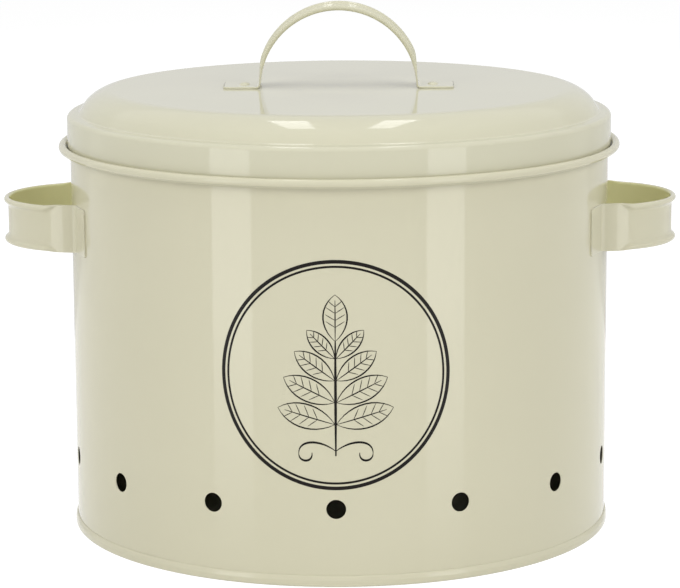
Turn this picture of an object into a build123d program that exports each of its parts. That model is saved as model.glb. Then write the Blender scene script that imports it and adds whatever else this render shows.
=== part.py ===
"""Storage bin for potatoes in painted sheet steel, with a lid that lifts off.

Millimetres. +Z is up, the front of the drum faces -Y, the side handles point
along +X and -X, and the origin is the centre of the base on the floor.

The drum, base and lid are drawn and folded from thin tinplate, so each is an
outline in the (radius, height) plane, revolved round the axis. The three
handles are steel straps: a loop with a rolled bead along each edge, whose
beads run out before the strap bends into two flat feet.

Bends are turned in straight steps where they run round a full circle or round
a bead, so that they stay plain cones. More steps make a bend rounder.
"""
import os
from math import acos, atan2, cos, degrees, radians, sin, sqrt, tan

from build123d import *

# ---- Drum wall -------------------------------------------------------------
drum_radius = 116.0        # outside of the wall
drum_height = 167.4        # floor to the top of the curled rim
tinplate = 0.3             # sheet of the drum, base and lid

# ---- Curled rim ------------------------------------------------------------
curl_radius = 1.7          # outside of the rolled tube, which is pressed shut
curl_offset = 3.35         # middle of the tube beyond the outside of the wall
curl_turn = 270.0          # how far round the tube the sheet is rolled
curl_steps = 5
flare_angle = 60.0         # slope of the funnel under the curl, from level

# ---- Double seam round the base --------------------------------------------
seam_height = 5.2          # floor to the top of the seam
seam_stand = 0.95          # how far the pressed folds stand out from the wall
seam_fit = 0.02            # between the wall and the fold it stands in
panel_height = 4.0         # floor to the underside of the sunken base panel

# ---- Vent holes and side seam ----------------------------------------------
vent_count = 14
vent_diameter = 8.0
vent_sides = 8             # each round hole is cut with this many straight sides
vent_height = 32.4         # floor to the middle of the holes
side_seam_width = 4.0      # folded lock seam, inside the wall
side_seam_fold = 0.6       # how far it stands in
side_seam_groove = 0.8     # width of the line it leaves outside
groove_depth = 0.12
side_seam_margin = 1.5     # the fold stops this far from the panel and the flare

# ---- Lid -------------------------------------------------------------------
skirt_overhang = 1.15      # outside of the lid's skirt beyond the drum wall
hem_height = 3.2           # lower edge of the skirt, turned in and pressed flat
seat_clearance = 0.3       # between the hem and the funnel of the rim
skirt_height = 13.65       # hem to ledge
shoulder_radius = 2.0
shoulder_steps = 1
ledge_width = 5.05         # skirt to the foot of the slope
slope_angle = 58.0
crown_rise = 10.3          # ledge to the flat crown
crown_fillet = 14.8
crown_steps = 2

# ---- Strap handles ---------------------------------------------------------
strap_sheet = 0.8          # sheet of the straps
bead_radius = 1.4          # rolled edge at full size
bead_start_radius = 0.45   # rolled edge where it begins
bead_steps = 4
strap_bend = 1.2           # inside radius of the bend into a foot
foot_corner = 1.5          # bevelled corners of each foot
paint_gap = 0.05           # paint between a foot and what it is fixed to

side_strap_width = 19.6    # over the beads, which take up some of the strap
side_foot_width = 20.6
side_loop_radius = 32.7    # inner face of the loop
side_loop_sink = 5.5       # how far the middle of the loop lies inside the drum wall
side_strap_drop = 34.4     # top of the curled rim to the middle of the strap
side_foot_end = 47.6       # middle of the handle to the end of a foot
side_bead_start = 15.0     # the beads begin this far up the loop
side_bead_run_out = 6.5    # length over which the beads grow to full size

lid_strap_width = 20.2
lid_foot_width = 20.2
lid_loop_radius = 33.4
lid_foot_end = 49.5
lid_bead_start = 7.0
lid_bead_run_out = 11.0

# ---- Rivets of the lid handle ----------------------------------------------
rivet_spread = 40.6        # middle of the lid to each rivet
rivet_shank_radius = 1.5
rivet_hole_play = 0.05
rivet_head_radius = 2.4
rivet_head_height = 1.0
rivet_tail_radius = 2.2
rivet_tail_height = 0.8
rivet_taper = 40.0         # sides of the head and of the tail, from upright
rivet_sides = 8


def polar(radius, angle):
    """Vector of a given length at an angle from level."""
    return Vector(radius * cos(radians(angle)), radius * sin(radians(angle)))


# ---- Places worked out from the sizes above --------------------------------
wall_inside = drum_radius - tinplate
curl_middle = Vector(drum_radius + curl_offset, drum_height - curl_radius)
flare_side = 90.0 + flare_angle                    # where the flare meets the curl
flare_normal = polar(1, flare_side)
flare_top = curl_middle + flare_normal * (curl_radius - tinplate)
flare_foot = flare_top.Y - (flare_top.X - drum_radius) * tan(radians(flare_angle))

skirt_radius = drum_radius + skirt_overhang
skirt_inset = (skirt_radius - curl_middle.X) * flare_normal.X
lid_bottom = curl_middle.Y + (curl_radius + seat_clearance - skirt_inset) / flare_normal.Y
ledge_top = lid_bottom + skirt_height
crown_top = ledge_top + crown_rise

side_loop_reach = drum_radius - side_loop_sink     # axis of the drum to the middle of the loop
side_strap_height = drum_height - side_strap_drop  # floor to the middle of the strap
bend_radius = strap_bend + strap_sheet             # bend, on the strap's inner face


def revolved(outline):
    """Revolve a closed outline of (radius, height) points round the axis."""
    return revolve(Plane.XZ * make_face(Polyline(*outline, close=True)), Axis.Z, 360)


def bent_path(points, bends):
    """Stops of a path through points, with a (radius, straight steps) bend at each corner."""
    path = FilletPolyline(*points, radius=[radius for radius, _ in bends])
    counts = iter([steps for radius, steps in bends if radius])
    stops = []
    for edge in path.edges():
        count = 1 if edge.geom_type == GeomType.LINE else next(counts)
        stops += [edge @ (index / count) for index in range(count)]
    return [*stops, path @ 1]


def inset(stops, thickness):
    """The stops of a path moved to its left, with the corners mitred."""
    runs = [(after - before).normalized() for before, after in zip(stops, stops[1:])]
    normals = [Vector(-run.Y, run.X) for run in runs]
    sides = zip([normals[0], *normals], [*normals, normals[-1]])
    return [
        stop + (before + after) * (thickness / (1 + before.dot(after)))
        for stop, (before, after) in zip(stops, sides)
    ]


# ---- Drum ------------------------------------------------------------------
def wall_arc_block(angle, inner, outer, width, low, high):
    """A block that follows the wall, centred at an angle from the front."""
    face = Plane.XZ * Pos((inner + outer) / 2, (low + high) / 2) * Rectangle(outer - inner, high - low)
    sweep_angle = degrees(width / drum_radius)
    return Rot(0, 0, -90 - angle - sweep_angle / 2) * revolve(face, Axis.Z, sweep_angle)


def make_body_wall():
    """Wall with a flared and curled rim, vent holes and a folded side seam at the back."""
    flare_inset = tinplate * tan(radians((90 - flare_angle) / 2))
    curl_angles = [flare_side - curl_turn * index / curl_steps for index in range(curl_steps + 1)]
    curl = [curl_middle + polar(curl_radius, angle) for angle in curl_angles]
    shell = revolved(
        [
            (drum_radius, tinplate + seam_fit),
            (wall_inside, tinplate + seam_fit),
            (wall_inside, flare_foot + flare_inset),
            *curl,
            (drum_radius, flare_foot),
        ]
    )

    seam_angle = 180 - 180 / vent_count
    fold_low = panel_height + tinplate + side_seam_margin
    fold_high = flare_foot - side_seam_margin
    groove_floor = drum_radius - groove_depth
    shell += wall_arc_block(
        seam_angle, wall_inside - side_seam_fold, groove_floor, side_seam_width, fold_low, fold_high
    )
    shell -= wall_arc_block(
        seam_angle, groove_floor, drum_radius + groove_depth, side_seam_groove, fold_low, fold_high
    )

    vent_outline = RegularPolygon(vent_diameter / 2, vent_sides, major_radius=False, rotation=180 / vent_sides)
    vent = Pos(0, -drum_radius, vent_height) * Rot(90, 0, 0) * extrude(vent_outline, curl_radius, both=True)
    for index in range(vent_count):
        shell -= Rot(0, 0, index * 360 / vent_count) * vent
    return shell


def make_base_pan():
    """Sunken base panel whose edge folds round the foot of the wall in a double seam."""
    chuck_outside = wall_inside - seam_fit
    chuck_inside = chuck_outside - tinplate
    seam_inside = drum_radius + seam_fit
    seam_outside = drum_radius + seam_stand
    return revolved(
        [
            (0, panel_height),
            (chuck_inside, panel_height),
            (chuck_inside, 0),
            (seam_outside, 0),
            (seam_outside, seam_height),
            (seam_inside, seam_height),
            (seam_inside, tinplate),
            (chuck_outside, tinplate),
            (chuck_outside, panel_height + tinplate),
            (0, panel_height + tinplate),
        ]
    )


# ---- Lid -------------------------------------------------------------------
def make_lid_shell():
    """Drawn lid: hemmed skirt, ledge, rounded slope and flat crown, with two rivet holes."""
    slope_foot = skirt_radius - ledge_width
    slope_head = slope_foot - crown_rise / tan(radians(slope_angle))
    drawn = bent_path(
        [
            (skirt_radius, lid_bottom),
            (skirt_radius, ledge_top),
            (slope_foot, ledge_top),
            (slope_head, crown_top),
            (0, crown_top),
        ],
        [(shoulder_radius, shoulder_steps), (0, 1), (crown_fillet, crown_steps)],
    )
    underside = inset(drawn, tinplate)
    hem_inside = skirt_radius - 2 * tinplate
    hem_top = lid_bottom + hem_height
    hem = [(hem_inside, lid_bottom), (hem_inside, hem_top), (skirt_radius - tinplate, hem_top)]
    shell = revolved([*drawn, *reversed(underside[1:]), *reversed(hem)])
    for side in (-1, 1):
        shell -= rivet_hole(side, crown_top)
    return shell


def rivet_disc(radius, height):
    """Outline of a rivet at a height, as a polygon round the rivet's axis."""
    return Pos(0, 0, height) * RegularPolygon(radius, rivet_sides)


def rivet_hole(side, height):
    """Clearance hole for a rivet's shank at +X or -X, through the sheet at a height."""
    depth = 4 * strap_sheet
    return Pos(side * rivet_spread, 0, -depth / 2) * extrude(
        rivet_disc(rivet_shank_radius + rivet_hole_play, height), depth
    )


def make_lid_rivet(side):
    """Rivet through a foot of the lid handle and the lid, with its tail upset below."""
    under_head = crown_top + paint_gap + strap_sheet
    under_lid = crown_top - tinplate
    head = extrude(rivet_disc(rivet_head_radius, under_head), rivet_head_height, taper=rivet_taper)
    shank = extrude(rivet_disc(rivet_shank_radius, under_lid), under_head - under_lid)
    tail = extrude(rivet_disc(rivet_tail_radius, under_lid), -rivet_tail_height, taper=rivet_taper)
    return Pos(side * rivet_spread, 0, 0) * (head + shank + tail)


# ---- Strap handles ---------------------------------------------------------
# A handle is built with the middle of its loop at the origin: x is across the
# handle, y away from what carries it, and z runs across the strap's width.
def strap_section(width, bead):
    """Corners of a strap's section: x from its inner face outward, y across its width."""
    edge = width / 2 - bead
    neck_angle = degrees(acos((strap_sheet - bead) / bead))
    angles = [180 - (180 + neck_angle) * index / bead_steps for index in range(bead_steps + 1)]
    corners = [Vector(bead, edge) + polar(bead, angle) for angle in angles]
    return corners + [Vector(corner.X, -corner.Y) for corner in reversed(corners)]


def across_loop(loop_radius, angle, section):
    """The corners of a section, placed across the loop at an angle."""
    plane = Plane(origin=polar(loop_radius, angle), x_dir=polar(1, angle), z_dir=polar(1, angle + 90))
    return [plane.from_local_coords(corner) for corner in section]


def flat_face(*corners):
    """Flat face between corners."""
    return make_face(Polyline(*corners, close=True))


def run_out_solid(first, last):
    """Strap between two sections with like corners, with each side folded into two triangles."""
    sides = []
    for index in range(len(first)):
        sides.append(flat_face(first[index - 1], first[index], last[index]))
        sides.append(flat_face(first[index - 1], last[index], last[index - 1]))
    return Solid(Shell([flat_face(*first), flat_face(*last), *sides]))


def strap_handle(loop_radius, width, foot_width, bead_start, run_out, foot_path):
    """Loop with beaded edges, bead run-outs and a plain leg and foot on each side."""
    full_angle = bead_start + degrees(run_out / loop_radius)
    first_section = across_loop(loop_radius, bead_start, strap_section(foot_width, bead_start_radius))
    full_section = across_loop(loop_radius, full_angle, strap_section(width, bead_radius))
    loop = revolve(flat_face(*full_section), Axis.Z, 180 - 2 * full_angle)

    foot_outline = offset(foot_path, strap_sheet, side=Side.LEFT, closed=True)
    foot = Pos(0, 0, -foot_width / 2) * extrude(make_face(foot_outline.edges()), foot_width)
    end_edges = foot.edges().filter_by(lambda e: e.length < 1.01 * strap_sheet).sort_by(Axis.X)[-2:]
    foot = chamfer(end_edges, foot_corner)

    half = foot + run_out_solid(first_section, full_section)
    return loop + half + mirror(half, Plane.YZ)


def side_foot_path():
    """Inner face of a leg and foot of a side handle, bent to lie on the drum wall."""
    wall = drum_radius + paint_gap
    bend_reach = side_loop_radius + bend_radius
    bend_y = ((wall + bend_radius) ** 2 - bend_reach**2 - side_loop_reach**2) / (2 * side_loop_reach)
    bend_x = sqrt(bend_reach**2 - bend_y**2)
    leg_angle = degrees(atan2(bend_y, bend_x))
    wall_angle = degrees(atan2(bend_y + side_loop_reach, bend_x))
    end_angle = degrees(acos(side_foot_end / wall))
    leg = CenterArc((0, 0), side_loop_radius, side_bead_start, leg_angle - side_bead_start)
    bend = CenterArc((bend_x, bend_y), bend_radius, 180 + leg_angle, wall_angle - leg_angle)
    foot = CenterArc((0, -side_loop_reach), wall, wall_angle, end_angle - wall_angle)
    return leg + bend + foot


def make_side_handle(side):
    """Side handle, with its feet welded to the drum at +X or -X."""
    handle = strap_handle(
        side_loop_radius,
        side_strap_width,
        side_foot_width,
        side_bead_start,
        side_bead_run_out,
        side_foot_path(),
    )
    place = Plane(origin=(side * side_loop_reach, 0, side_strap_height), x_dir=(0, -side, 0), z_dir=(0, 0, 1))
    return place.location * handle


def lid_foot_path():
    """Inner face of a leg and foot of the lid handle, bent to lie on the crown."""
    bend_y = paint_gap + bend_radius
    bend_x = sqrt((lid_loop_radius + bend_radius) ** 2 - bend_y**2)
    leg_angle = degrees(atan2(bend_y, bend_x))
    leg = CenterArc((0, 0), lid_loop_radius, lid_bead_start, leg_angle - lid_bead_start)
    bend = CenterArc((bend_x, bend_y), bend_radius, 180 + leg_angle, 90 - leg_angle)
    foot = Line((bend_x, paint_gap), (lid_foot_end, paint_gap))
    return leg + bend + foot


def make_lid_handle():
    """Lid handle: an arch over the middle of the lid, riveted through both feet."""
    handle = strap_handle(
        lid_loop_radius,
        lid_strap_width,
        lid_foot_width,
        lid_bead_start,
        lid_bead_run_out,
        lid_foot_path(),
    )
    handle = Plane(origin=(0, 0, crown_top), x_dir=(1, 0, 0), z_dir=(0, -1, 0)).location * handle
    for side in (-1, 1):
        handle -= rivet_hole(side, crown_top)
    return handle


nodes = {
    "body_wall": make_body_wall(),
    "base_pan": make_base_pan(),
    "side_handle_left": make_side_handle(-1),
    "side_handle_right": make_side_handle(1),
    "lid_shell": make_lid_shell(),
    "lid_handle": make_lid_handle(),
    "lid_rivet_left": make_lid_rivet(-1),
    "lid_rivet_right": make_lid_rivet(1),
}

os.makedirs("parts", exist_ok=True)
for name, shape in nodes.items():
    export_step(shape, f"parts/{name}.step")
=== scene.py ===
"""Looks of a storage bin for potatoes: cream-enamelled tinplate with a lid that lifts off.

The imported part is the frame. Its pieces are folded and drawn from thin sheet, so
each is modelled here as the sheet itself: a bent wire of a few points is spun
round the axis and given its thickness, and a strap is drawn along its path one
ring at a time. The bin's lengths are written in millimetres, as on a drawing,
and each finished mesh is scaled to metres. The studio is written in metres. +Z
is up and the front of the drum faces -Y.
"""

import logging
import math
from abc import ABC, abstractmethod
from dataclasses import dataclass
from enum import Enum
from typing import Any, Iterable, Sequence

import bmesh
import bpy
from mathutils import Matrix, Vector
from mathutils.geometry import interpolate_bezier

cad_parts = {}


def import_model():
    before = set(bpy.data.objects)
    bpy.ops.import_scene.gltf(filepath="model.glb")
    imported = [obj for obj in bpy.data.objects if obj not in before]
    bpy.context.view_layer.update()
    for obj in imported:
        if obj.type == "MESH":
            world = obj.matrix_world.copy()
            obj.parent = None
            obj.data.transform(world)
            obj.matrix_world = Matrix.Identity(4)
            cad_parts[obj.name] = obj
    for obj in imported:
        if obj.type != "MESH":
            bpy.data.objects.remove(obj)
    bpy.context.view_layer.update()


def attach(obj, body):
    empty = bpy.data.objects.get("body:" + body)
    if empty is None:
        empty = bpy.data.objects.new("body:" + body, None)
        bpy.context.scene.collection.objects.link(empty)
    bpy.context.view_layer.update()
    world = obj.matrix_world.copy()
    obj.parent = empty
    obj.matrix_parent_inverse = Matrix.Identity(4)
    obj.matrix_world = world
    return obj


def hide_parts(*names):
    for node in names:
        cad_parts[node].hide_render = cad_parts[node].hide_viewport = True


log = logging.getLogger("potato_bin")

MM = 0.001
ROUND_STEPS = 224          # columns round the drum and the lid, 16 to each vent hole
DRUM_RADIUS = 116.0        # outside of the wall
CROWN_HEIGHT = 189.839     # top of the lid's flat crown
SHEET = 0.3                # gauge of the tinplate
WELD = 1e-4                # vertices nearer than this are one
AXIS_X, AXIS_Y, AXIS_Z = Vector((1, 0, 0)), Vector((0, 1, 0)), Vector((0, 0, 1))


class Body(Enum):
    """Bodies of the part that a piece can ride on."""

    BIN = "bin"
    LID = "lid"


class Side(Enum):
    """The two sides that carry a handle or a rivet."""

    LEFT = -1
    RIGHT = 1

    @property
    def word(self) -> str:
        """The side's name as the nodes spell it."""
        return self.name.lower()


# ---- Finishes --------------------------------------------------------------
def linear_colour(code: str) -> tuple[float, float, float, float]:
    """Turn an sRGB hex colour into linear RGBA.

    Args:
        code: Colour such as "#d4d0b5".

    Returns:
        Red, green, blue and an alpha of 1.
    """
    parts = [int(code[start : start + 2], 16) / 255 for start in (1, 3, 5)]
    red, green, blue = (p / 12.92 if p <= 0.04045 else ((p + 0.055) / 1.055) ** 2.4 for p in parts)
    return red, green, blue, 1.0


def add_node(
    tree: bpy.types.NodeTree, kind: str, inputs: dict[str | int, Any] | None = None, **settings: Any
) -> bpy.types.Node:
    """Add a node with its settings, and fill or link its sockets.

    Args:
        tree: Node tree that gets the node.
        kind: Blender's type of the node.
        inputs: Socket by name or number, with a value or another node's output.
        **settings: Properties of the node.

    Returns:
        The new node.
    """
    node = tree.nodes.new(kind)
    for setting, value in settings.items():
        setattr(node, setting, value)
    for socket, value in (inputs or {}).items():
        if isinstance(value, bpy.types.NodeSocket):
            tree.links.new(value, node.inputs[socket])
        else:
            node.inputs[socket].default_value = value
    return node


def mottled_tone(
    tree: bpy.types.NodeTree, place: bpy.types.NodeSocket, size_mm: float, thin: str, thick: str
) -> tuple[bpy.types.Node, bpy.types.NodeSocket]:
    """Let a tone drift between two colours.

    Args:
        tree: Node tree that gets the nodes.
        place: Coordinates on the object.
        size_mm: Size of the drift.
        thin: Colour where the coat is thinner.
        thick: Colour where it is thicker.

    Returns:
        The noise and the colour that it mixes.
    """
    noise = add_node(tree, "ShaderNodeTexNoise", {"Vector": place, "Scale": 1 / (size_mm * MM), "Detail": 2.0})
    colours = {"Factor": noise.outputs["Fac"], 6: linear_colour(thin), 7: linear_colour(thick)}
    return noise, add_node(tree, "ShaderNodeMix", colours, data_type="RGBA").outputs[2]


def new_material(name: str) -> tuple[bpy.types.Material, bpy.types.NodeTree]:
    """Make an empty node material.

    Args:
        name: Name of the material.

    Returns:
        The material and its node tree.
    """
    material = bpy.data.materials.new(name)
    material.use_nodes = True
    material.node_tree.nodes.clear()
    return material, material.node_tree


@dataclass(frozen=True)
class StovedEnamel:
    """Cream enamel, sprayed on tinplate and stoved.

    To the eye it is a smooth gloss with sharp edges to its reflections, a faint
    orange-peel ripple that bends them, and a tone that drifts a little where the
    coat is thicker.
    """

    name: str
    colour: str = "#d2ceb5"
    thin_colour: str = "#cecab0"      # where the coat is thinner
    roughness: float = 0.05
    drift_mm: float = 70.0            # size of the drift in tone
    peel_mm: float = 2.4              # size of the orange peel, drawn coarser than the real 1 mm to show
    peel_height_mm: float = 0.002

    def material(self) -> bpy.types.Material:
        """Build the enamel's material."""
        material, tree = new_material(self.name)
        place = add_node(tree, "ShaderNodeTexCoord").outputs["Object"]
        drift, tone = mottled_tone(tree, place, self.drift_mm, self.thin_colour, self.colour)
        peel_scale = 1 / (self.peel_mm * MM)
        peel = add_node(tree, "ShaderNodeTexNoise", {"Vector": place, "Scale": peel_scale, "Detail": 1.0})
        gloss = add_node(
            tree,
            "ShaderNodeMapRange",
            {"Value": drift.outputs["Fac"], "To Min": 0.8 * self.roughness, "To Max": 1.2 * self.roughness},
        )
        ripple = add_node(
            tree,
            "ShaderNodeBump",
            {"Height": peel.outputs["Fac"], "Distance": self.peel_height_mm * MM, "Strength": 1.0},
        )
        shader = add_node(
            tree,
            "ShaderNodeBsdfPrincipled",
            {
                "Base Color": tone,
                "Roughness": gloss.outputs["Result"],
                "IOR": 1.5,
                "Normal": ripple.outputs["Normal"],
            },
        )
        add_node(tree, "ShaderNodeOutputMaterial", {"Surface": shader.outputs["BSDF"]})
        return material


@dataclass(frozen=True)
class PrintingInk:
    """Black ink, screen-printed on the enamel and stoved.

    To the eye it is a flat warm black, a little less glossy than the enamel,
    whose density drifts where the screen left less ink.
    """

    name: str = "screen_printing_ink"
    colour: str = "#0f0c0a"
    thin_colour: str = "#191512"
    roughness: float = 0.32
    sheen: float = 0.18               # specular level: the ink dries nearly matt
    mesh_mm: float = 0.8              # mottle of the ink, coarser than the screen so that it shows

    def material(self) -> bpy.types.Material:
        """Build the ink's material."""
        material, tree = new_material(self.name)
        place = add_node(tree, "ShaderNodeTexCoord").outputs["Object"]
        _, tone = mottled_tone(tree, place, self.mesh_mm, self.thin_colour, self.colour)
        shader = add_node(
            tree,
            "ShaderNodeBsdfPrincipled",
            {
                "Base Color": tone,
                "Roughness": self.roughness,
                "IOR": 1.5,
                "Specular IOR Level": self.sheen,
            },
        )
        add_node(tree, "ShaderNodeOutputMaterial", {"Surface": shader.outputs["BSDF"]})
        return material


# ---- Mesh helpers ----------------------------------------------------------
@dataclass(frozen=True)
class Corner:
    """Corner of a bent wire in the (reach, height) plane, with its bend."""

    reach: float
    height: float
    bend: float = 0.0
    steps: int = 6


def bent_wire(mesh: bmesh.types.BMesh, corners: Sequence[Corner]) -> list[bmesh.types.BMVert]:
    """Draw a wire through corners and bevel each corner that has a bend.

    Args:
        mesh: Mesh that gets the wire.
        corners: Corners from one end to the other.

    Returns:
        The first and the last vertex of the wire.
    """
    stops = [Vector((corner.reach, 0, corner.height)) for corner in corners]
    verts = [mesh.verts.new(stop) for stop in stops]
    for start, end in zip(verts, verts[1:]):
        mesh.edges.new((start, end))
    for index, corner in enumerate(corners):
        if corner.bend:
            turn = (stops[index] - stops[index - 1]).angle(stops[index + 1] - stops[index])
            bmesh.ops.bevel(
                mesh,
                geom=[verts[index]],
                offset=corner.bend * math.tan(turn / 2),
                affect="VERTICES",
                segments=corner.steps,
                profile=0.5,
                material=-1,
            )
    return [verts[0], verts[-1]]


def spun_on_axis(mesh: bmesh.types.BMesh, steps: int) -> None:
    """Spin everything in a mesh once round an upright axis and weld the seam and the poles.

    Args:
        mesh: Mesh that holds the wire.
        steps: Columns round the axis.
    """
    bmesh.ops.spin(
        mesh,
        geom=mesh.verts[:] + mesh.edges[:],
        cent=Vector(),
        axis=AXIS_Z,
        dvec=Vector(),
        angle=math.tau,
        steps=steps,
        use_merge=True,
        use_duplicate=False,
    )
    bmesh.ops.remove_doubles(mesh, verts=mesh.verts[:], dist=WELD)


def face_outwards(mesh: bmesh.types.BMesh, near: Vector, towards: Vector) -> None:
    """Make the faces agree, with the one nearest a point facing a given way.

    Args:
        mesh: Mesh whose faces are turned.
        near: Point by the face that decides.
        towards: Direction that this face has to look in.
    """
    bmesh.ops.recalc_face_normals(mesh, faces=mesh.faces[:])
    witness = min(mesh.faces, key=lambda face: (face.calc_center_median() - near).length)
    if witness.normal.dot(towards) < 0:
        bmesh.ops.reverse_faces(mesh, faces=mesh.faces[:])


def drawn_on(
    mesh: bmesh.types.BMesh, ring: Sequence[bmesh.types.BMVert], places: Sequence[Vector], closed: bool = True
) -> list[bmesh.types.BMVert]:
    """Extrude a ring of vertices by one stop and set the new ring in its place.

    Args:
        mesh: Mesh that holds the ring.
        ring: Vertices of the ring in order.
        places: Where the new vertices go, in the same order.
        closed: Whether the last vertex joins the first.

    Returns:
        The new ring, in the same order.
    """
    pairs = zip(ring, [*ring[1:], ring[0]]) if closed else zip(ring, ring[1:])
    grown = bmesh.ops.extrude_edge_only(mesh, edges=[mesh.edges.get(pair) for pair in pairs])
    fresh = {item for item in grown["geom"] if isinstance(item, bmesh.types.BMVert)}
    moved = [
        next(edge.other_vert(vert) for edge in vert.link_edges if edge.other_vert(vert) in fresh) for vert in ring
    ]
    for vert, place in zip(moved, places):
        vert.co = place
    return moved


def laid_in_scene(mesh: bmesh.types.BMesh, name: str, material: bpy.types.Material) -> bpy.types.Object:
    """Turn a mesh into an object of the scene.

    Args:
        mesh: Mesh, freed here.
        name: Name of the object.
        material: Its finish.

    Returns:
        The object, at the origin.
    """
    data = bpy.data.meshes.new(name)
    mesh.to_mesh(data)
    mesh.free()
    data.materials.append(material)
    thing = bpy.data.objects.new(name, data)
    bpy.context.scene.collection.objects.link(thing)
    return thing


def finished_piece(
    mesh: bmesh.types.BMesh, name: str, material: bpy.types.Material, sharp_angle: float = 40.0
) -> bpy.types.Object:
    """Scale a mesh to metres and make it a smooth-shaded piece at the origin.

    Args:
        mesh: Mesh in millimetres, freed here.
        name: Name of the piece.
        material: Its finish.
        sharp_angle: Folds sharper than this, in degrees, keep a crisp edge.

    Returns:
        The piece.
    """
    bmesh.ops.scale(mesh, vec=Vector((MM, MM, MM)), verts=mesh.verts[:])
    piece = laid_in_scene(mesh, name, material)
    piece.data.shade_smooth()
    piece.data.set_sharp_from_angle(angle=math.radians(sharp_angle))
    shading = piece.modifiers.new("large_faces_lead", "WEIGHTED_NORMAL")
    shading.keep_sharp = True
    return piece


# ---- Sub-assemblies --------------------------------------------------------
class SubAssembly(ABC):
    """A group of pieces that is made and dressed together."""

    @abstractmethod
    def build(self) -> list[bpy.types.Object]:
        """Make the pieces, dress them and put them on their body."""

    @staticmethod
    def settle(piece: bpy.types.Object, body: Body, *nodes: str) -> bpy.types.Object:
        """Put a piece on its body, in place of the nodes that it stands for.

        Args:
            piece: The finished piece.
            body: Body that it rides on.
            *nodes: Nodes that it stands for.

        Returns:
            The piece.
        """
        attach(piece, body.value)
        if nodes:
            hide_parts(*nodes)
        return piece


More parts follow.
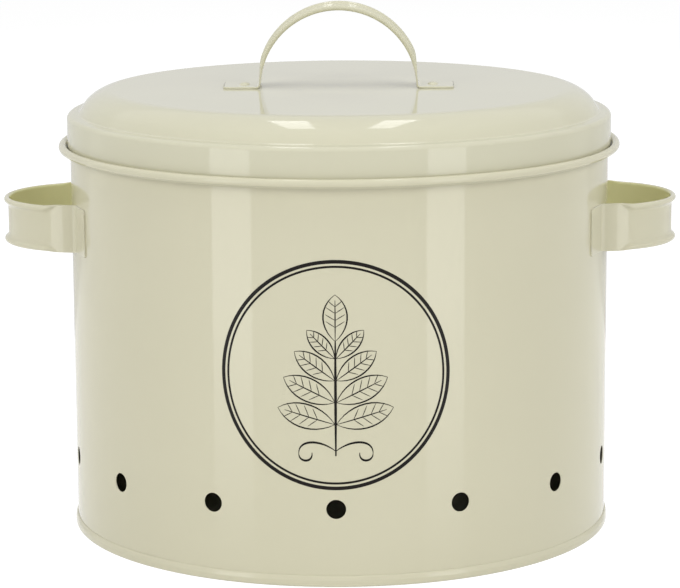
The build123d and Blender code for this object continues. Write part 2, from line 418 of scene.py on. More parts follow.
@dataclass
class Drum(SubAssembly):
    """Drum wall with its curled rim and vent holes, and the base folded round its foot."""

    enamel: bpy.types.Material
    lining: bpy.types.Material
    radius: float = DRUM_RADIUS
    sheet: float = SHEET
    foot: float = 0.32
    rim_middle: tuple[float, float] = (119.25, 165.63)
    rim_radius: float = 1.7
    rim_turn: float = 270.0
    rim_steps: int = 18
    flare: float = 60.0
    flare_bend: float = 1.2
    vent_count: int = 14
    vent_radius: float = 4.0
    vent_height: float = 32.4
    vent_panel: int = 8               # columns and rows of the panel that a vent hole is cut in
    vent_margin: float = 0.4          # share of a column or row that tells the panel's faces from the next
    seam_width: float = 4.0
    seam_fold: float = 0.6
    seam_sink: float = 0.1            # how far the fold reaches into the wall, so that no gap shows
    seam_round: float = 0.25
    groove_width: float = 0.8
    groove_depth: float = 0.13
    groove_ends: tuple[float, float] = (6.0, 159.5)
    groove_rows: tuple[float, float] = (0.1, 0.6)  # past each end of the groove, and short of it
    wall_rows: tuple[float, ...] = (60.0, 87.5, 115.0, 140.0)  # heights of the plain wall's rows
    seam_ends: tuple[float, float] = (5.8, 161.0)
    base_stand: float = 0.95
    base_seam: float = 4.8
    base_slope: float = 2.1           # height of the seam's upper part, which leans to the wall
    base_lip: tuple[float, float] = (0.42, 0.6)  # in from the face and down from the top, where it leans more
    base_panel: float = 4.0
    base_fit: float = 0.02
    lining_margin: float = 0.4        # enamel left round the satin lining

    def build(self) -> list[bpy.types.Object]:
        """Make the wall and the base."""
        return [
            self.settle(self.make_wall(), Body.BIN, "body_wall"),
            self.settle(self.make_base(), Body.BIN, "base_pan"),
        ]

    @property
    def inside(self) -> float:
        """Radius of the wall's inner face."""
        return self.radius - self.sheet

    @property
    def row(self) -> float:
        """Height of a row in the vent holes' band, as tall as a column is wide."""
        return math.tau * self.radius / ROUND_STEPS

    def make_wall(self) -> bpy.types.Object:
        """Spin the wall's inner face with its rim, cut the vents, and thicken it outwards."""
        mesh = bmesh.new()
        slope = math.radians(self.flare)
        away = math.radians(90 + self.flare)
        middle = Vector((self.rim_middle[0], 0, self.rim_middle[1]))
        start = middle + self.rim_radius * Vector((math.cos(away), 0, math.sin(away)))
        flare_foot = start.z - (start.x - self.inside) * math.tan(slope)
        band_low = self.vent_height - self.row * self.vent_panel / 2
        band = [Corner(self.inside, band_low + self.row * step) for step in range(self.vent_panel + 1)]
        past, short = self.groove_rows
        groove_foot = [Corner(self.inside, self.groove_ends[0] + step) for step in (-past, short)]
        upper = [Corner(self.inside, height) for height in self.wall_rows]
        groove_head = [Corner(self.inside, self.groove_ends[1] + step) for step in (-short, past)]
        straight = [Corner(self.inside, self.foot), *groove_foot, *band, *upper, *groove_head]
        bend = Corner(self.inside, flare_foot, self.flare_bend, 4)
        rim_start = bent_wire(mesh, [*straight, bend, Corner(start.x, start.z)])[-1]
        bmesh.ops.spin(
            mesh,
            geom=[rim_start],
            cent=middle,
            axis=AXIS_Y,
            dvec=Vector(),
            angle=math.radians(self.rim_turn),
            steps=self.rim_steps,
            use_merge=False,
            use_duplicate=False,
        )
        spun_on_axis(mesh, ROUND_STEPS)
        for index in range(self.vent_count):
            self.cut_vent(mesh, -math.pi / 2 + math.tau * index / self.vent_count)
        seam = -math.pi / 2 - math.pi + math.pi / self.vent_count
        self.press_groove(mesh, seam, *self.groove_ends)
        face_outwards(mesh, Vector((self.radius, 0, 100)), AXIS_X)
        bmesh.ops.reverse_faces(mesh, faces=mesh.faces[:])
        bmesh.ops.solidify(mesh, geom=mesh.faces[:], thickness=self.sheet)
        bmesh.ops.recalc_face_normals(mesh, faces=mesh.faces[:])
        self.add_lock_seam(mesh, seam, *self.seam_ends)
        return finished_piece(mesh, "drum_wall", self.enamel)

    def cut_vent(self, mesh: bmesh.types.BMesh, azimuth: float) -> None:
        """Cut a round hole in the middle of a panel of the wall.

        Args:
            mesh: Mesh of the wall's inner face.
            azimuth: Direction of the hole from the axis.
        """
        turned = Matrix.Rotation(azimuth, 4, "Z")
        half_panel = self.vent_panel / 2 - self.vent_margin
        half_width = half_panel * math.tau / ROUND_STEPS
        half_height = half_panel * self.row

        def in_panel(face: bmesh.types.BMFace) -> bool:
            """Whether a face lies in this hole's panel."""
            centre = turned.inverted() @ face.calc_center_median()
            level = abs(centre.z - self.vent_height) < half_height
            return level and centre.x > 0 and abs(math.atan2(centre.y, centre.x)) < half_width

        panel = [face for face in mesh.faces if in_panel(face)]
        around = {edge for face in panel for edge in face.edges if not all(f in panel for f in edge.link_faces)}
        bmesh.ops.delete(mesh, geom=panel, context="FACES")
        middle = Matrix.Translation((self.inside, 0, self.vent_height))
        facing = turned @ middle @ Matrix.Rotation(math.pi / 2, 4, "Y")
        ring = bmesh.ops.create_circle(
            mesh, cap_ends=False, radius=self.vent_radius, segments=4 * self.vent_panel, matrix=facing
        )["verts"]
        hole = {edge for vert in ring for edge in vert.link_edges}
        bridged = bmesh.ops.bridge_loops(mesh, edges=[*around, *hole])
        spokes = [edge for edge in bridged["edges"] if edge not in around and edge not in hole]
        bmesh.ops.subdivide_edges(mesh, edges=spokes, cuts=3, use_grid_fill=False)
        for vert in mesh.verts:
            if abs(vert.co.z - self.vent_height) < half_height:
                vert.co.xy = vert.co.xy * (self.inside / vert.co.xy.length)

    def press_groove(self, mesh: bmesh.types.BMesh, azimuth: float, low: float, high: float) -> None:
        """Press the fine line that the lock seam leaves on the outside of the wall.

        Args:
            mesh: Mesh of the wall's inner face.
            azimuth: Direction of the seam from the axis.
            low: Lower end of the line.
            high: Upper end of the line.
        """
        outward = Vector((math.cos(azimuth), math.sin(azimuth), 0))
        across = Vector((-outward.y, outward.x, 0))
        half = self.groove_width / 2
        for offset in (-half, -0.3 * half, 0.3 * half, half):
            near = [face for face in mesh.faces if face.calc_center_median().dot(outward) > 0.9 * self.inside]
            near = [face for face in near if face.calc_center_median().z < high + 2]
            parts = {part for face in near for part in (*face.verts, *face.edges)}
            bmesh.ops.bisect_plane(mesh, geom=[*near, *parts], dist=WELD, plane_co=across * offset, plane_no=across)
        for vert in mesh.verts:
            if abs(vert.co.dot(across)) < 0.4 * half and vert.co.dot(outward) > 0 and low < vert.co.z < high:
                vert.co -= outward * self.groove_depth

    def add_lock_seam(self, mesh: bmesh.types.BMesh, azimuth: float, low: float, high: float) -> None:
        """Lay the seam's folded strip on the inside of the wall.

        Args:
            mesh: Mesh of the thickened wall.
            azimuth: Direction of the seam from the axis.
            low: Lower end of the fold.
            high: Upper end of the fold.
        """
        place = Matrix.Rotation(azimuth, 4, "Z") @ Matrix.Translation(
            (self.inside - (self.seam_fold - self.seam_sink) / 2, 0, (low + high) / 2)
        )
        size = Matrix.Diagonal((self.seam_fold + self.seam_sink, self.seam_width, high - low, 1))
        block = bmesh.ops.create_cube(mesh, size=1, matrix=place @ size)["verts"]
        edges = {edge for vert in block for edge in vert.link_edges}
        upright = [edge for edge in edges if (edge.verts[0].co - edge.verts[1].co).length > 0.5 * (high - low)]
        bmesh.ops.bevel(
            mesh, geom=upright, offset=self.seam_round, affect="EDGES", segments=3, profile=0.5, material=-1
        )

    def make_base(self) -> bpy.types.Object:
        """Spin the base panel with the seam that folds round the wall's foot, its upper edge rounded."""
        mesh = bmesh.new()
        chuck = self.inside - self.base_fit
        folded = self.radius + self.base_fit
        outside = self.radius + self.base_stand
        top = self.base_panel + self.sheet
        bent_wire(
            mesh,
            [
                Corner(0, self.base_panel),
                Corner(chuck - self.sheet, self.base_panel, 0.5),
                Corner(chuck - self.sheet, 0, 0.3),
                Corner(outside, 0, 0.9),
                Corner(outside, self.base_seam - self.base_slope, 2.4, 6),
                Corner(outside - self.base_lip[0], self.base_seam - self.base_lip[1], 1.0, 6),
                Corner(folded, self.base_seam, 0.1, 3),
                Corner(folded, self.sheet),
                Corner(chuck, self.sheet),
                Corner(chuck, top, 0.8),
                Corner(0, top),
            ],
        )
        spun_on_axis(mesh, ROUND_STEPS)
        face_outwards(mesh, Vector((outside, 0, self.base_seam / 2)), AXIS_X)
        for face in mesh.faces:
            in_bin = face.calc_center_median().xy.length < chuck - self.lining_margin
            face.material_index = int(in_bin and face.normal.z > 0.5)
        base = finished_piece(mesh, "folded_base", self.enamel)
        base.data.materials.append(self.lining)
        return base


@dataclass
class DrawnLid(SubAssembly):
    """Lid drawn from one sheet: hemmed skirt, ledge, rounded slope and flat crown."""

    enamel: bpy.types.Material
    sheet: float = SHEET
    skirt: float = 117.15
    bottom: float = 165.889
    ledge: float = 179.539
    crown: float = CROWN_HEIGHT
    hem: float = 3.2
    hem_gap: float = 0.04
    hem_bend: float = 0.45            # share of the folded hem's depth
    ledge_width: float = 5.05
    slope: float = 58.0
    shoulder_bend: float = 2.0
    ledge_rise: float = 0.5           # rise of the ledge from its rounded edge to the slope
    foot_bend: float = 1.2
    crown_bend: float = 14.8
    crown_rings: tuple[float, ...] = (60.0, 20.0, 0.0)

    def build(self) -> list[bpy.types.Object]:
        """Make the lid."""
        return [self.settle(self.make_shell(), Body.LID, "lid_shell")]

    def make_shell(self) -> bpy.types.Object:
        """Spin the lid's outer face from the inside of its hem to the crown, and thicken it inwards."""
        mesh = bmesh.new()
        fold = 2 * self.sheet + self.hem_gap
        slope_foot = self.skirt - self.ledge_width
        slope_head = slope_foot - (self.crown - self.ledge) / math.tan(math.radians(self.slope))
        bent_wire(
            mesh,
            [
                Corner(self.skirt - fold, self.bottom + self.hem),
                Corner(self.skirt - fold, self.bottom, self.hem_bend * fold),
                Corner(self.skirt, self.bottom, self.hem_bend * fold),
                Corner(self.skirt, self.ledge, self.shoulder_bend, 8),
                Corner(slope_foot, self.ledge + self.ledge_rise, self.foot_bend, 8),
                Corner(slope_head, self.crown, self.crown_bend, 14),
                *(Corner(reach, self.crown) for reach in self.crown_rings),
            ],
        )
        spun_on_axis(mesh, ROUND_STEPS)
        face_outwards(mesh, Vector((self.skirt, 0, self.ledge - 6)), AXIS_X)
        bmesh.ops.solidify(mesh, geom=mesh.faces[:], thickness=self.sheet)
        return finished_piece(mesh, "drawn_lid", self.enamel)


@dataclass(frozen=True)
class PathArc:
    """Arc of a strap's path along its inner face."""

    middle: tuple[float, float]
    radius: float
    start: float
    end: float
    facing: int = 1                   # 1 where the strap's outer face looks away from the middle

    def stops(self, count: int) -> list[tuple[Vector, Vector]]:
        """Points on the arc after its start, each with the way that the outer face looks.

        Args:
            count: Number of stops.

        Returns:
            Pairs of a point and a direction.
        """
        sweep = self.end - self.start
        angles = [math.radians(self.start + sweep * step / count) for step in range(1, count + 1)]
        spokes = [Vector((math.cos(angle), math.sin(angle))) for angle in angles]
        return [(Vector(self.middle) + self.radius * spoke, self.facing * spoke) for spoke in spokes]


@dataclass
class StrapHandle(SubAssembly):
    """Handle bent from a steel strap whose edges are rolled into beads round the loop.

    It is drawn as half a loop, from the top of the arch to the end of a foot, and
    mirrored. x is across the handle, y away from what carries it, and z across
    the strap. The faces that look into the loop can take a second, more olive
    enamel: painted shade, for the dim cream bounce light inside the loop.
    """

    enamel: bpy.types.Material
    # painted shade: olive copy of the enamel for the faces that look into the loop
    loop_shade_enamel: bpy.types.Material
    loop_radius: float = 33.4
    width: float = 20.2
    foot_width: float = 20.2
    foot_end: float = 49.5
    run_out: float = 11.0
    sheet: float = 0.8
    bead: float = 1.25
    bead_start: float = 7.0
    neck_bend: float = 2.4
    strap_bend: float = 1.2
    foot_corner: float = 2.0
    end_round: float = 0.35
    gap: float = 0.05                 # between a foot and what carries it
    loop_stops: int = 56
    arc_stops: int = 10
    bead_steps: int = 12
    neck_steps: int = 4

    @abstractmethod
    def foot_arcs(self) -> list[PathArc]:
        """Arcs of the leg below the beads, the bend and the foot."""

    def section(
        self, bead: float, width: float, facing: Vector, place: Vector, seated: bool = False
    ) -> list[Vector]:
        """Ring of points round the strap at one stop of its path.

        Args:
            bead: Radius of the rolled edge there.
            width: Width of the strap there.
            facing: Way that the outer face looks.
            place: Point on the inner face, in the middle of the strap.
            seated: Whether the edges come straight down, as where paint closes them to a wall.

        Returns:
            The ring, in order.
        """
        edge = width / 2 - bead
        lift = self.sheet + self.neck_bend - bead
        drop = math.sqrt(max((bead + self.neck_bend) ** 2 - lift**2, 0.0))
        neck = math.atan2(-drop, lift)
        half = []
        for step in range(self.bead_steps + 1):
            angle = math.pi + (neck - math.pi) * step / self.bead_steps
            side = 1 if seated and math.cos(angle) < 0 else math.sin(angle)
            half.append(Vector((bead + bead * math.cos(angle), edge + bead * side)))
        blend = [math.pi + neck * (1 - step / self.neck_steps) for step in range(1, self.neck_steps + 1)]
        half += [
            Vector(
                (
                    self.sheet + self.neck_bend + self.neck_bend * math.cos(angle),
                    edge - drop + self.neck_bend * math.sin(angle),
                )
            )
            for angle in blend
        ]
        ring = half + [Vector((point.x, -point.y)) for point in reversed(half)]
        return [
            Vector((place.x + facing.x * point.x, place.y + facing.y * point.x, point.y)) for point in ring
        ]

    def rolled_at(self, angle: float) -> tuple[float, float]:
        """Radius of the rolled edge and width of the strap at an angle up the loop.

        Args:
            angle: Degrees up from the foot.

        Returns:
            The radius, which grows smoothly over the run-out, and the width, which shrinks as the edge takes it up.
        """
        share = (angle - self.bead_start) / math.degrees(self.run_out / self.loop_radius)
        share = min(max(share, 0.0), 1.0)
        share *= share * (3 - 2 * share)
        bead = self.sheet / 2 + (self.bead - self.sheet / 2) * share
        return bead, self.foot_width + (self.width - self.foot_width) * share

    def width_at(self, reach: float) -> float:
        """Width of the foot at a distance across the handle, with its rounded corners."""
        short = max(reach - (self.foot_end - self.foot_corner), 0.0)
        return self.foot_width - 2 * self.foot_corner + 2 * math.sqrt(max(self.foot_corner**2 - short**2, 0.0))

    def make_strap(self, name: str, place: Matrix) -> bpy.types.Object:
        """Draw the strap along its path, close its end, mirror it and put it in place.

        Args:
            name: Name of the piece.
            place: Where the handle's own axes lie on the bin.

        Returns:
            The finished piece.
        """
        mesh = bmesh.new()
        top = self.section(self.bead, self.width, Vector((0, 1)), Vector((0, self.loop_radius)))
        ring = [mesh.verts.new(point) for point in top]
        for start, end in zip(ring, [*ring[1:], ring[0]]):
            mesh.edges.new((start, end))
        loop = PathArc((0, 0), self.loop_radius, 90, self.bead_start)
        for point, facing in loop.stops(self.loop_stops):
            angle = math.degrees(math.atan2(facing.y, facing.x))
            ring = drawn_on(mesh, ring, self.section(*self.rolled_at(angle), facing, point))
        for index, arc in enumerate(self.foot_arcs()):
            for point, facing in arc.stops(self.arc_stops):
                flat = self.section(self.sheet / 2, self.width_at(abs(point.x)), facing, point, seated=index > 1)
                ring = drawn_on(mesh, ring, flat)
        rim = [mesh.edges.get(pair) for pair in zip(ring, [*ring[1:], ring[0]])]
        bmesh.ops.contextual_create(mesh, geom=rim)
        outer = rim[len(rim) // 6 : -len(rim) // 6]     # all but the edges on the carrying side
        bmesh.ops.bevel(
            mesh, geom=outer, offset=self.end_round, affect="EDGES", segments=4, profile=0.5, material=-1
        )
        bmesh.ops.mirror(mesh, geom=mesh.verts[:] + mesh.edges[:] + mesh.faces[:], merge_dist=WELD, axis="X")
        bmesh.ops.remove_doubles(mesh, verts=mesh.verts[:], dist=WELD)
        bmesh.ops.recalc_face_normals(mesh, faces=mesh.faces[:])
        # faces that look into the loop take the olive second enamel, as painted shade
        for face in mesh.faces:
            outward = face.calc_center_median() * Vector((1, 1, 0))
            takes_loop_shade = outward.length < self.loop_radius + self.sheet
            face.material_index = int(takes_loop_shade and face.normal.dot(outward.normalized()) < -0.5)
        bmesh.ops.transform(mesh, matrix=place, verts=mesh.verts[:])
        strap = finished_piece(mesh, name, self.enamel, 50.0)
        strap.data.materials.append(self.loop_shade_enamel)
        return strap


@dataclass
class LidHandle(StrapHandle):
    """Arched handle in the middle of the lid, riveted through both feet."""

    crown: float = CROWN_HEIGHT
    rivet_reach: float = 40.6
    rivet_head: float = 2.4
    rivet_rise: float = 1.0
    rivet_tail: float = 2.2
    rivet_drop: float = 0.8
    rivet_shank: float = 1.5
    rivet_steps: int = 32
    dome_steps: int = 8

    def foot_arcs(self) -> list[PathArc]:
        """Arcs of the leg, the bend and the foot, which lies on the crown."""
        bend = self.strap_bend + self.sheet
        bend_y = self.gap + bend
        bend_x = math.sqrt((self.loop_radius + bend) ** 2 - bend_y**2)
        leg_end = math.degrees(math.atan2(bend_y, bend_x))
        flat_radius = 1e6
        reach = math.degrees((self.foot_end - bend_x) / flat_radius)
        return [
            PathArc((0, 0), self.loop_radius, self.bead_start, leg_end),
            PathArc((bend_x, bend_y), bend, 180 + leg_end, 270, -1),
            PathArc((bend_x, self.gap - flat_radius), flat_radius, 90, 90 - 0.9 * reach),
            PathArc((bend_x, self.gap - flat_radius), flat_radius, 90 - 0.9 * reach, 90 - reach),
        ]

    def build(self) -> list[bpy.types.Object]:
        """Make the handle and its rivets."""
        upright = Matrix.Translation((0, 0, self.crown)) @ Matrix.Rotation(math.pi / 2, 4, "X")
        pieces = [self.settle(self.make_strap("lid_strap_handle", upright), Body.LID, "lid_handle")]
        for side in Side:
            rivet = self.make_rivet(side)
            pieces.append(self.settle(rivet, Body.LID, f"lid_rivet_{side.word}"))
        return pieces

    def make_rivet(self, side: Side) -> bpy.types.Object:
        """Spin a rivet with its domed head, its shank through strap and lid, and its upset tail.

        Args:
            side: Side of the handle.

        Returns:
            The finished piece.
        """
        mesh = bmesh.new()
        under_head = self.crown + self.gap + self.sheet
        under_lid = self.crown - SHEET
        head_ball = (self.rivet_head**2 + self.rivet_rise**2) / (2 * self.rivet_rise)
        tail_ball = (self.rivet_tail**2 + self.rivet_drop**2) / (2 * self.rivet_drop)
        head_rim, tail_rim = bent_wire(
            mesh,
            [
                Corner(self.rivet_head, under_head),
                Corner(self.rivet_shank, under_head),
                Corner(self.rivet_shank, under_lid),
                Corner(self.rivet_tail, under_lid),
            ],
        )
        for radius, start, height, ball, way in (
            (self.rivet_head, head_rim, under_head + self.rivet_rise - head_ball, head_ball, -1),
            (self.rivet_tail, tail_rim, under_lid - self.rivet_drop + tail_ball, tail_ball, 1),
        ):
            bmesh.ops.spin(
                mesh,
                geom=[start],
                cent=Vector((0, 0, height)),
                axis=AXIS_Y,
                dvec=Vector(),
                angle=way * math.asin(radius / ball),
                steps=self.dome_steps,
                use_merge=False,
                use_duplicate=False,
            )
        spun_on_axis(mesh, self.rivet_steps)
        face_outwards(mesh, Vector((0, 0, under_head + 2)), AXIS_Z)
        bmesh.ops.translate(mesh, vec=Vector((side.value * self.rivet_reach, 0, 0)), verts=mesh.verts[:])
        return finished_piece(mesh, f"lid_rivet_dome_{side.word}", self.enamel)


@dataclass
class SideHandles(StrapHandle):
    """The two handles on the sides of the drum, whose feet hug the wall."""

    loop_radius: float = 32.7
    width: float = 19.6
    foot_width: float = 20.5
    foot_end: float = 47.6
    run_out: float = 6.5
    bead_start: float = 15.0
    strap_bend: float = 2.0
    end_round: float = 0.5
    gap: float = -0.25                # enamel closes the foot to the wall, so less of its sheet stands out
    wall: float = DRUM_RADIUS
    reach: float = 110.5
    height: float = 133.2

    def foot_arcs(self) -> list[PathArc]:
        """Arcs of the leg, the bend and the foot, which follows the wall."""
        bend = self.strap_bend + self.sheet
        wall = self.wall + self.gap
        out = self.loop_radius + bend
        bend_y = ((wall + bend) ** 2 - out**2 - self.reach**2) / (2 * self.reach)
        bend_x = math.sqrt(out**2 - bend_y**2)
        leg_end = math.degrees(math.atan2(bend_y, bend_x))
        wall_start = math.degrees(math.atan2(bend_y + self.reach, bend_x))
        foot_end = math.degrees(math.acos(self.foot_end / wall))
        corner = wall_start + 0.9 * (foot_end - wall_start)
        return [
            PathArc((0, 0), self.loop_radius, self.bead_start, leg_end),
            PathArc((bend_x, bend_y), bend, 180 + leg_end, 180 + wall_start, -1),
            PathArc((0, -self.reach), wall, wall_start, corner),
            PathArc((0, -self.reach), wall, corner, foot_end),
        ]

    def build(self) -> list[bpy.types.Object]:
        """Make both handles."""
        pieces = []
        for side in Side:
            turn = Matrix.Rotation(-side.value * math.pi / 2, 4, "Z")
            place = Matrix.Translation((side.value * self.reach, 0, self.height)) @ turn
            handle = self.make_strap(f"side_strap_handle_{side.word}", place)
            pieces.append(self.settle(handle, Body.BIN, f"side_handle_{side.word}"))
        return pieces


@dataclass
class BadgePrint(SubAssembly):
    """Round badge printed on the front of the wall: a double ring round a leafy sprig."""

    ink: bpy.types.Material
    wall: float = DRUM_RADIUS
    height: float = 87.5
    ring_radii: tuple[float, float] = (46.35, 44.3)
    ring_widths: tuple[float, float] = (1.5, 0.9)
    ring_steps: int = 180
    veins: tuple[float, ...] = (0.3, 0.45, 0.6, 0.74)      # places along a leaf's midrib
    leaf_pairs: tuple[tuple[float, float, float], ...] = (  # height, length and tilt
        (-20, 24, 16),
        (-11, 23, 26),
        (-2, 20, 36),
        (7, 16, 46),
    )
    lift: float = 0.035               # thickness of the ink on the enamel

    def build(self) -> list[bpy.types.Object]:
        """Make the print."""
        mesh = bmesh.new()
        for radius, width in zip(self.ring_radii, self.ring_widths):
            self.draw_ring(mesh, radius, width)
        self.draw_sprig(mesh)
        for vert in mesh.verts:
            across, up = vert.co.x, vert.co.y
            reach = self.wall + self.lift
            vert.co = Vector(
                (reach * math.sin(across / self.wall), -reach * math.cos(across / self.wall), self.height + up)
            )
        face_outwards(mesh, Vector((0, -self.wall, self.height + self.ring_radii[0])), -AXIS_Y)
        for face in mesh.faces:
            if face.normal.dot(face.calc_center_median() * Vector((1, 1, 0))) < 0:
                face.normal_flip()
        return [self.settle(finished_piece(mesh, "badge_print", self.ink), Body.BIN)]

    def stroke(self, mesh: bmesh.types.BMesh, stops: Sequence[Vector], widths: Sequence[float]) -> None:
        """Lay one stroke of ink along stops, as wide at each as the nib there.

        Args:
            mesh: Flat mesh of the badge.
            stops: Points of the stroke.
            widths: Width of the stroke at each point.
        """
        nibs = []
        for index, (stop, width) in enumerate(zip(stops, widths)):
            run = stops[min(index + 1, len(stops) - 1)] - stops[max(index - 1, 0)]
            across = Vector((-run.y, run.x, 0)).normalized() * width / 2
            nibs.append([stop + across, stop - across])
        nib = [mesh.verts.new(place) for place in nibs[0]]
        mesh.edges.new(nib)
        for places in nibs[1:]:
            nib = drawn_on(mesh, nib, places, closed=False)

    def curve(
        self, mesh: bmesh.types.BMesh, points: Sequence[Vector], width: float, thin: float = 0.3, count: int = 12
    ) -> None:
        """Lay a curved stroke that thins towards both ends.

        Args:
            mesh: Flat mesh of the badge.
            points: Start, two handles and end of the curve.
            width: Width in the middle.
            thin: Share of the width that is left at the ends.
            count: Number of stops.
        """
        stops = interpolate_bezier(*points, count)
        swell = [thin + (1 - thin) * math.sin(math.pi * step / (count - 1)) for step in range(count)]
        self.stroke(mesh, stops, [width * share for share in swell])

    def draw_ring(self, mesh: bmesh.types.BMesh, radius: float, width: float) -> None:
        """Lay one ring of the badge.

        Args:
            mesh: Flat mesh of the badge.
            radius: Radius of the ring's middle line.
            width: Width of the line.
        """
        turns = [math.tau * step / self.ring_steps for step in range(self.ring_steps)]
        spokes = [Vector((math.cos(turn), math.sin(turn), 0)) for turn in turns]
        inner = [mesh.verts.new(spoke * (radius - width / 2)) for spoke in spokes]
        for pair in zip(inner, [*inner[1:], inner[0]]):
            mesh.edges.new(pair)
        drawn_on(mesh, inner, [spoke * (radius + width / 2) for spoke in spokes])

    def draw_leaf(self, mesh: bmesh.types.BMesh, base: Vector, turn: float, length: float, width: float) -> None:
        """Lay the outline, the midrib and the veins of one leaf.

        Args:
            mesh: Flat mesh of the badge.
            base: Where the leaf leaves its stem.
            turn: Direction of the leaf in degrees, from level.
            length: Length of the leaf.
            width: Greatest width of the leaf.
        """
        along = Vector((math.cos(math.radians(turn)), math.sin(math.radians(turn)), 0))
        across = Vector((-along.y, along.x, 0))
        tip = base + along * length
        for side in (-1, 1):
            swell = side * width * 0.68
            near, far = base + along * 0.3 * length, tip - along * 0.25 * length
            self.curve(mesh, [base, near + across * swell, far + across * swell, tip], 0.62)
            for share in self.veins:
                root = base + along * share * length
                reach = side * width * 0.42 * math.sin(math.pi * (0.15 + 0.8 * share))
                end = root + along * 0.13 * length + across * reach
                self.curve(mesh, [root, root.lerp(end, 0.3), root.lerp(end, 0.7), end], 0.34, 0.4, 5)
        self.curve(mesh, [base, base.lerp(tip, 0.3), base.lerp(tip, 0.6), base.lerp(tip, 0.88)], 0.5, 0.4, 8)

    def draw_sprig(self, mesh: bmesh.types.BMesh) -> None:
        """Lay an upright sprig with pairs of leaves, a leaf at its tip and a curl at each side of its foot."""
        foot, head = Vector((0, -33, 0)), Vector((0, 14, 0))
        self.curve(mesh, [foot, Vector((0, -18, 0)), Vector((0, 0, 0)), head], 1.1, 0.5, 20)
        self.draw_leaf(mesh, head, 90, 19, 9.5)
        for height, length, tilt in self.leaf_pairs:
            for side in (-1, 1):
                turn = 90 - side * (90 - tilt)
                base = Vector((side * 0.3, height, 0))
                self.draw_leaf(mesh, base, turn, length, 0.4 * length)
        for side in (-1, 1):
            curl = [Vector((side * x, y, 0)) for x, y in ((0, -31), (6, -26), (15, -26), (15, -32))]
            self.curve(mesh, curl, 0.9, 0.3, 16)
            hook = [Vector((side * x, y, 0)) for x, y in ((15, -32), (15, -36), (9, -36), (9.6, -31.6))]
            self.curve(mesh, hook, 0.9, 0.3, 14)


# ---- Studio ----------------------------------------------------------------
@dataclass(frozen=True)
class Lamp:
    """Soft box that lights the object."""

    name: str
    place: tuple[float, float, float]
    size: tuple[float, float]
    power: float
    aim: tuple[float, float, float] = (0.0, 0.0, 0.1)  # on the bin's axis, about half-way up

    @classmethod
    def at(cls, name: str, azimuth: float, elevation: float, power: float, distance: float = 1.8) -> "Lamp":
        """Make a square soft box in a direction from the bin.

        Args:
            name: Name of the lamp.
            azimuth: Degrees from the front, positive to the right.
            elevation: Degrees above level.
            power: Watts.
            distance: Distance from the bin.

        Returns:
            The lamp, which aims at the bin.
        """
        turn, up = math.radians(azimuth), math.radians(elevation)
        level = distance * math.cos(up)
        place = (level * math.sin(turn), -level * math.cos(turn), cls.aim[2] + distance * math.sin(up))
        return cls(name, place, (0.8, 0.8), power)

    def build(self) -> None:
        """Hang the lamp. It has no reflection of its own, because the cards give those."""
        data = bpy.data.lights.new(self.name, "AREA")
        data.shape = "RECTANGLE"
        data.size, data.size_y = self.size
        data.energy = self.power
        lamp = bpy.data.objects.new(self.name, data)
        lamp.location = self.place
        lamp.rotation_euler = (Vector(self.aim) - Vector(self.place)).to_track_quat("-Z", "Y").to_euler()
        lamp.visible_glossy = False
        bpy.context.scene.collection.objects.link(lamp)


@dataclass(frozen=True)
class Card:
    """Card that only shows in the gloss of the enamel, as a soft box or a backdrop does."""

    name: str
    place: tuple[float, float, float]
    size: tuple[float, float]
    glow: float
    overhead: bool = False            # lies level and faces down, where others stand and face the bin
    fade: tuple[float, float] | None = None  # heights between which it rises from plain white to its glow

    def build(self) -> None:
        """Make the card."""
        mesh = bmesh.new()
        bmesh.ops.create_grid(mesh, x_segments=1, y_segments=1, size=0.5)
        bmesh.ops.scale(mesh, vec=Vector((*self.size, 1)), verts=mesh.verts[:])
        turn = Matrix.Identity(4)
        if not self.overhead:
            turn = Vector((-self.place[0], -self.place[1], 0)).to_track_quat("Z", "Y").to_matrix().to_4x4()
        bmesh.ops.transform(mesh, matrix=Matrix.Translation(self.place) @ turn, verts=mesh.verts[:])
        card = laid_in_scene(mesh, self.name, self.material())
        card.visible_camera = False
        card.visible_diffuse = False
        card.visible_shadow = False
        card.visible_transmission = False

    def material(self) -> bpy.types.Material:
        """Plain glow, or one that fades to white towards the foot of the card."""
        material, tree = new_material(f"{self.name}_glow")
        shader = add_node(tree, "ShaderNodeEmission", {"Color": (1, 1, 1, 1), "Strength": self.glow})
        if self.fade:
            place = add_node(tree, "ShaderNodeTexCoord").outputs["Object"]
            height = add_node(tree, "ShaderNodeSeparateXYZ", {"Vector": place}).outputs["Z"]
            low, high = self.fade
            glow = add_node(
                tree,
                "ShaderNodeMapRange",
                {"Value": height, "From Min": low, "From Max": high, "To Min": 1.0, "To Max": self.glow},
            )
            tree.links.new(glow.outputs["Result"], shader.inputs["Strength"])
        add_node(tree, "ShaderNodeOutputMaterial", {"Surface": shader.outputs["Emission"]})
        material.cycles.emission_sampling = "NONE"
        return material


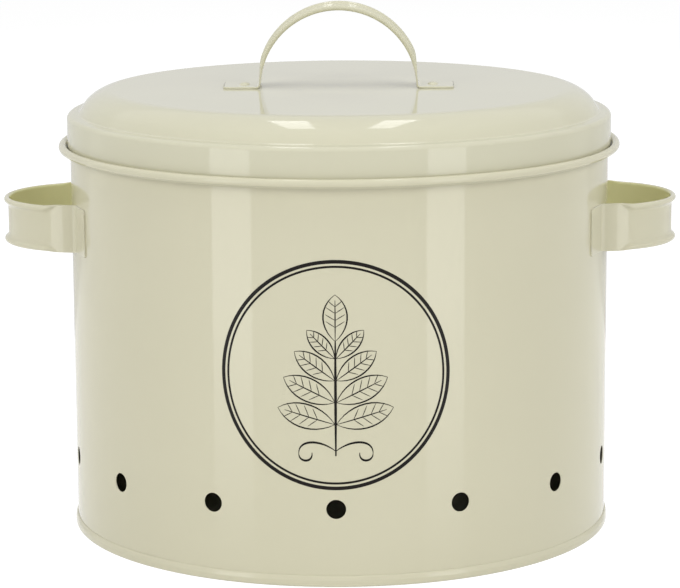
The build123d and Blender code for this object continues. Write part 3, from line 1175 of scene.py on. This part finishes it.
@dataclass
class Studio:
    """White floor and surroundings, soft lamps, and the camera at the photograph's angle."""

    floor_reach: float = 8.0
    ambient: float = 0.2              # light of the surroundings on the object
    floor_glow: float = 0.92          # floor's own white, as the camera sees it
    floor_share: float = 0.26         # share that the lamps add to it, and that a shadow takes away
    lens: float = 156.4
    distance: float = 1.2917
    target: tuple[float, float, float] = (0.0, 0.0, 0.0984)
    elevation: float = 10.94
    azimuth: float = 1.0
    roll: float = -0.33

    def build(self) -> None:
        """Make the whole studio."""
        self.make_world()
        self.make_floor()
        self.make_camera()
        for word, azimuth, elevation, power in (
            ("front", 38, 28, 7.3),
            ("low", 42, 5, 3.6),
            ("side", 78, 28, 3.0),
            ("back", 138, 12, 8.0),
        ):
            for side in Side:
                Lamp.at(f"lamp_{word}_{side.word}", side.value * azimuth, elevation, power).build()
        Lamp("lamp_top", (0, -0.1, 1.5), (1.2, 1.0), 9.3).build()
        for card in (
            Card("card_left", (-0.677, -0.744, -0.1), (0.296, 0.9), 2.7, fade=(-0.26, -0.06)),
            Card("card_right", (0.695, -0.735, -0.1), (0.285, 0.9), 2.7, fade=(-0.26, -0.06)),
            Card("card_behind", (0.0, 3.2, 0.9), (9.0, 3.0), 0.76),
            Card("card_top_left", (-0.163, 0.23, 1.19), (0.124, 0.62), 4.8, overhead=True),
            Card("card_top_right", (0.182, 0.23, 1.19), (0.108, 0.62), 4.8, overhead=True),
        ):
            card.build()

    def make_world(self) -> None:
        """White for the camera and in reflections, and a plain pale light on the object."""
        world = bpy.data.worlds.new("studio_white")
        bpy.context.scene.world = world
        world.use_nodes = True
        tree = world.node_tree
        tree.nodes.clear()
        seen = self.seen_ray(tree)
        light = add_node(tree, "ShaderNodeBackground", {"Color": (1, 1, 1, 1), "Strength": self.ambient})
        white = add_node(tree, "ShaderNodeBackground", {"Color": (1, 1, 1, 1), "Strength": 1.0})
        both = add_node(
            tree, "ShaderNodeMixShader", {0: seen, 1: light.outputs["Background"], 2: white.outputs["Background"]}
        )
        add_node(tree, "ShaderNodeOutputWorld", {"Surface": both.outputs["Shader"]})

    @staticmethod
    def seen_ray(tree: bpy.types.NodeTree) -> bpy.types.NodeSocket:
        """Socket that is 1 for rays from the camera, a gloss or a glass.

        Args:
            tree: Node tree that gets the nodes.

        Returns:
            The socket.
        """
        path = add_node(tree, "ShaderNodeLightPath")
        camera, gloss, glass = (path.outputs[f"Is {kind} Ray"] for kind in ("Camera", "Glossy", "Transmission"))
        either = add_node(tree, "ShaderNodeMath", {0: camera, 1: gloss}, operation="MAXIMUM").outputs[0]
        return add_node(tree, "ShaderNodeMath", {0: either, 1: glass}, operation="MAXIMUM").outputs[0]

    def make_floor(self) -> None:
        """White floor that keeps a faint shadow and lets reflections pass to the white around it."""
        mesh = bmesh.new()
        bmesh.ops.create_grid(mesh, x_segments=1, y_segments=1, size=self.floor_reach)
        material, tree = new_material("white_floor")
        path = add_node(tree, "ShaderNodeLightPath")
        matt = add_node(tree, "ShaderNodeBsdfDiffuse", {"Color": linear_colour("#f2f2f0")})
        share = add_node(
            tree, "ShaderNodeBsdfDiffuse", {"Color": (self.floor_share, self.floor_share, self.floor_share, 1)}
        )
        glow = add_node(tree, "ShaderNodeEmission", {"Color": (1, 1, 1, 1), "Strength": self.floor_glow})
        shown = add_node(tree, "ShaderNodeAddShader", {0: share.outputs["BSDF"], 1: glow.outputs["Emission"]})
        clear = add_node(tree, "ShaderNodeBsdfTransparent")
        seen = add_node(
            tree,
            "ShaderNodeMixShader",
            {0: path.outputs["Is Camera Ray"], 1: matt.outputs["BSDF"], 2: shown.outputs["Shader"]},
        )
        surface = add_node(
            tree,
            "ShaderNodeMixShader",
            {0: path.outputs["Is Glossy Ray"], 1: seen.outputs["Shader"], 2: clear.outputs["BSDF"]},
        )
        add_node(tree, "ShaderNodeOutputMaterial", {"Surface": surface.outputs["Shader"]})
        material.cycles.emission_sampling = "NONE"
        floor = laid_in_scene(mesh, "floor", material)

    def make_camera(self) -> None:
        """Camera at the photograph's distance, angle and slight tilt."""
        data = bpy.data.cameras.new("photo_camera")
        data.sensor_fit = "HORIZONTAL"
        data.sensor_width = 36.0
        data.lens = self.lens
        data.clip_end = 50.0
        camera = bpy.data.objects.new("photo_camera", data)
        up, turn = math.radians(self.elevation), math.radians(self.azimuth)
        away = Vector((math.sin(turn) * math.cos(up), -math.cos(turn) * math.cos(up), math.sin(up)))
        aim = (-away).to_track_quat("-Z", "Y").to_matrix().to_4x4()
        tilt = Matrix.Rotation(math.radians(self.roll), 4, "Z")
        camera.matrix_world = Matrix.Translation(Vector(self.target) + self.distance * away) @ aim @ tilt
        bpy.context.scene.collection.objects.link(camera)
        bpy.context.scene.camera = camera


def main() -> None:
    """Build the sub-assemblies in order, log each piece's faces, and build the studio."""
    logging.basicConfig(level=logging.INFO, format="%(name)s: %(message)s")
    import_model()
    enamel = StovedEnamel("cream_stoved_enamel").material()
    # greyer copy of the cream for the lid and its handle: painted sheen, for the paler tone that reflections give
    # the lid
    lid_sheen_enamel = StovedEnamel("lid_painted_sheen_enamel", "#d1cfb7", "#cdcab2").material()
    lining = StovedEnamel("cream_satin_lining", roughness=0.45).material()
    # olive copy of the cream inside the side handles' loops: painted shade and bounce light
    loop_shade_enamel = StovedEnamel("olive_painted_loop_shade_enamel", "#d9d7a8", "#d4d2a1").material()
    ink = PrintingInk().material()
    assemblies: Iterable[SubAssembly] = (
        Drum(enamel, lining),
        DrawnLid(lid_sheen_enamel),
        LidHandle(lid_sheen_enamel, lid_sheen_enamel),
        SideHandles(enamel, loop_shade_enamel),
        BadgePrint(ink),
    )
    for assembly in assemblies:
        for piece in assembly.build():
            log.info("%s: %d faces", piece.name, len(piece.data.polygons))
    Studio().build()
    scene = bpy.context.scene
    scene.view_settings.view_transform = "Standard"


if __name__ == "__main__":
    main()
